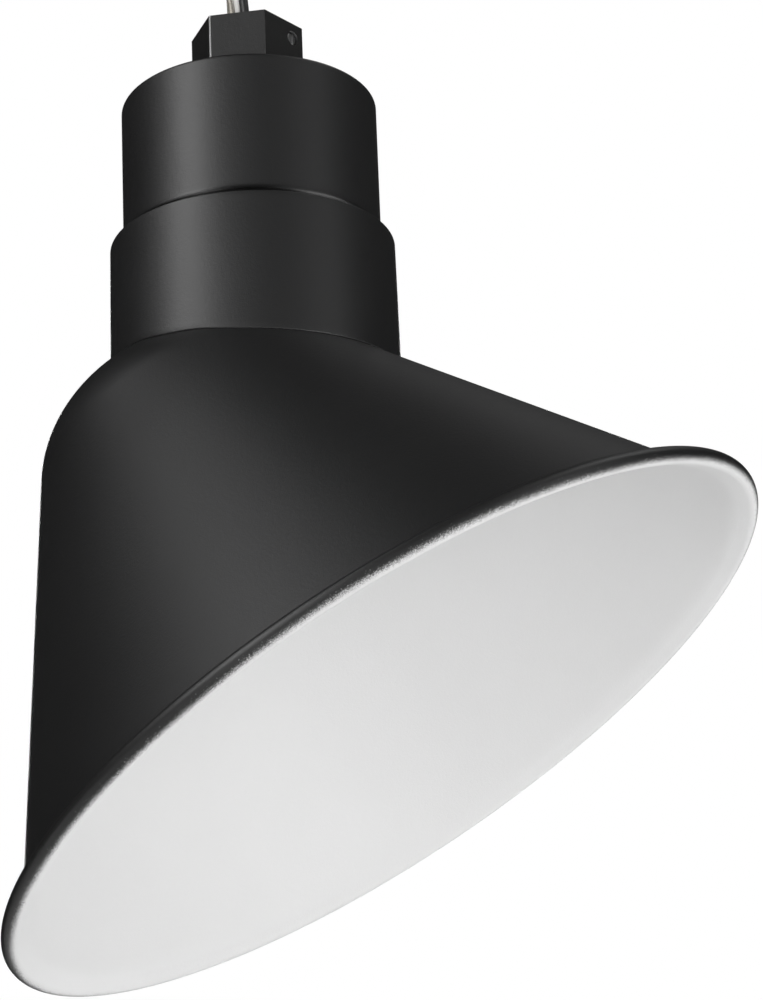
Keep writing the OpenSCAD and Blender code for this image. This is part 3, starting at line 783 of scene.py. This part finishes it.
def soft_light(name, azimuth, elevation, watts):
    """A square soft light in that direction from the head, facing it, and not seen itself."""
    data = bpy.data.lights.new(name, "AREA")
    data.shape = "SQUARE"
    data.size, data.energy = LIGHT_SIZE, watts
    light = bpy.data.objects.new(name, data)
    bpy.context.scene.collection.objects.link(light)
    back = towards(azimuth, elevation)
    across = np.cross([0, 0, 1], back)
    across /= np.linalg.norm(across)
    matrix = np.eye(4)
    matrix[:3, 0], matrix[:3, 1], matrix[:3, 2] = across, np.cross(back, across), back
    matrix[:3, 3] = np.array(LIGHT_AIM) + back * LIGHT_DISTANCE
    light.matrix_world = Matrix(matrix)
    light.visible_camera = False


def set_surroundings():
    """A white backdrop, a dim room around the head, a pale floor and plain soft lights."""
    world = bpy.data.worlds.new("studio")
    bpy.context.scene.world = world
    world.use_nodes = True
    tree = world.node_tree
    tree.nodes.clear()
    seen = tree.nodes.new("ShaderNodeLightPath")
    white, room = tree.nodes.new("ShaderNodeBackground"), tree.nodes.new("ShaderNodeBackground")
    for shader, strength in ((white, WHITE_SEEN), (room, ROOM_GLOW)):
        shader.inputs["Color"].default_value = (1, 1, 1, 1)
        shader.inputs["Strength"].default_value = strength
    mix, out = tree.nodes.new("ShaderNodeMixShader"), tree.nodes.new("ShaderNodeOutputWorld")
    tree.links.new(seen.outputs["Is Camera Ray"], mix.inputs[0])
    tree.links.new(room.outputs[0], mix.inputs[1])
    tree.links.new(white.outputs[0], mix.inputs[2])
    tree.links.new(mix.outputs[0], out.inputs[0])

    corners = [(x * FLOOR_HALF, y * FLOOR_HALF, FLOOR_LEVEL)
               for x, y in ((-1, -1), (1, -1), (1, 1), (-1, 1))]
    mesh = bpy.data.meshes.new("floor")
    mesh.from_pydata(corners, [], [(0, 1, 2, 3)])
    floor = bpy.data.objects.new("floor", mesh)
    bpy.context.scene.collection.objects.link(floor)
    f = Finish("pale_floor", (0.75, 0.75, 0.75), 0.8)
    clear = f.add("ShaderNodeBsdfTransparent")
    glow = f.add("ShaderNodeEmission", {}, {"Color": (1, 1, 1, 1), "Strength": FLOOR_SEEN})
    watched = f.add("ShaderNodeLightPath").outputs["Is Camera Ray"]
    under = f.add("ShaderNodeNewGeometry").outputs["Backfacing"]
    even = f.add("ShaderNodeMixShader", {}, {0: watched, 1: f.shader.outputs[0], 2: glow.outputs[0]})
    both = f.add("ShaderNodeMixShader", {}, {0: under, 1: even.outputs[0], 2: clear.outputs[0]})
    f.add("ShaderNodeOutputMaterial", {"is_active_output": True}, {"Surface": both.outputs[0]})
    wear(floor, f.material)

    for number, (azimuth, elevation, watts) in enumerate(SOFT_LIGHTS):
        soft_light(f"panel_{number}", azimuth, elevation, watts)
    scene = bpy.context.scene
    scene.view_settings.view_transform = "Standard"
    scene.view_settings.look = "None"
    scene.cycles.use_denoising = True


set_camera()

white_insulation = insulation("white_insulation", (0.72, 0.71, 0.69), (0.8, 0.79, 0.77), 0.5)
black_insulation = insulation("black_insulation", (0.012, 0.012, 0.012), (0.03, 0.03, 0.03), 0.4)
bare_strand = strand("bare_strand", (0.42, 0.39, 0.34), (0.66, 0.63, 0.57))
tinned = strand("tinned_strands", (0.42, 0.36, 0.29), (0.68, 0.63, 0.55))

# directions that no lead runs along, from which the rings round it are turned
LEAD_SIDE = (1, 0.15, -0.1)
INSIDE_SIDE = (1, -0.6, 0)
white_lead, white_tip = lead("white_lead_run", WHITE_ROUTE, 1.2, 0.7,
                             "white_lead", "white_lead_tip", LEAD_SIDE)
black_lead, black_tip = lead("black_lead_run", BLACK_ROUTE, 1.5, 0.9,
                             "black_lead", "black_lead_tip", LEAD_SIDE)
ground_route = smooth_route(GROUND_ROUTE, 22)
ground_lead = twisted_strands("ground_strand_run", ground_route, 0.7, 8, LEAD_SIDE,
                              "ground_lead")
white_inner = tube("white_lead_inner", smooth_route(WHITE_INSIDE, 10), 1.2, 20, INSIDE_SIDE,
                   "white_lead_in_housing")
black_inner = tube("black_lead_inner", smooth_route(BLACK_INSIDE, 10), 1.5, 20, INSIDE_SIDE,
                   "black_lead_in_housing")
ground_inner = twisted_strands("ground_strand_inner", smooth_route(GROUND_INSIDE, 14), 0.7, 8,
                               (1, 1, 1), "ground_lead_in_housing")
for piece in (white_lead, white_inner):
    wear(piece, white_insulation)
for piece in (black_lead, black_inner):
    wear(piece, black_insulation)
for piece in (ground_lead, ground_inner):
    wear(piece, bare_strand)
for piece in (white_tip, black_tip):
    wear(piece, tinned)

wear(spun_shade(), sprayed_enamel())
wear(neck_collar(), painted_neck("collar_paint", 0.0504, 0.0))
wear(socket_housing(), painted_neck("housing_paint", 0.04585, 1.0))
wear(rolled_screw_shell(), plated("nickel_shell", (0.66, 0.64, 0.6), 0.26, (1, 1, 0.1)))
wear(eased("hex_hub_body", "hex_hub", 0.36, "lamp_head"), hub_coat())
wear(eased("set_screw_body", "hub_set_screw", 0.4, "set_screw"),
     plated("bright_screw", (0.8, 0.8, 0.8), 0.24))
wear(eased("porcelain_body", "socket_body", 0.7, "lamp_head"), porcelain())
zinc = plated("zinc_plate", (0.62, 0.63, 0.65), 0.34)
wear(eased("locknut_body", "hub_locknut", 0.35, "lamp_head"), zinc)
wear(eased("yoke_strap", "socket_yoke", 0.3, "lamp_head"),
     plated("zinc_strap", (0.6, 0.61, 0.63), 0.36, (0.1, 1, 1)))
wear(eased("fixing_screws", "socket_screws", 0.15, "lamp_head"), zinc)
wear(eased("fixing_nuts", "socket_nuts", 0.2, "lamp_head"), zinc)
bronze = plated("spring_bronze", (0.62, 0.43, 0.17), 0.3, (0.1, 1, 1))
nickel = plated("nickel_tab", (0.64, 0.62, 0.59), 0.3)
green = Finish("green_screw", (0.04, 0.24, 0.1), 0.34, Metallic=0.6)
green.colour(green.noise(900, 3.0, 0.6), (0.03, 0.18, 0.08), (0.06, 0.3, 0.13))
green.feed("Roughness", 0.28 + green.noise(420, 2.0, 0.5) * 0.16)
green.relief(green.noise(2600, 2.0, 0.5), 0.00002, 0.5)
for node, material in (("hub_gasket", rubber()), ("lock_washer", zinc), ("insulating_disc", fibre_board()),
                       ("shell_rivets", bronze), ("contact_plate", bronze), ("contact_tongue", bronze),
                       ("contact_rivet", bronze), ("shell_terminal", nickel), ("contact_terminal", bronze),
                       ("ground_screw", green.material), ("ground_ring_terminal", nickel)):
    wear(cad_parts[node], material)

set_surroundings()
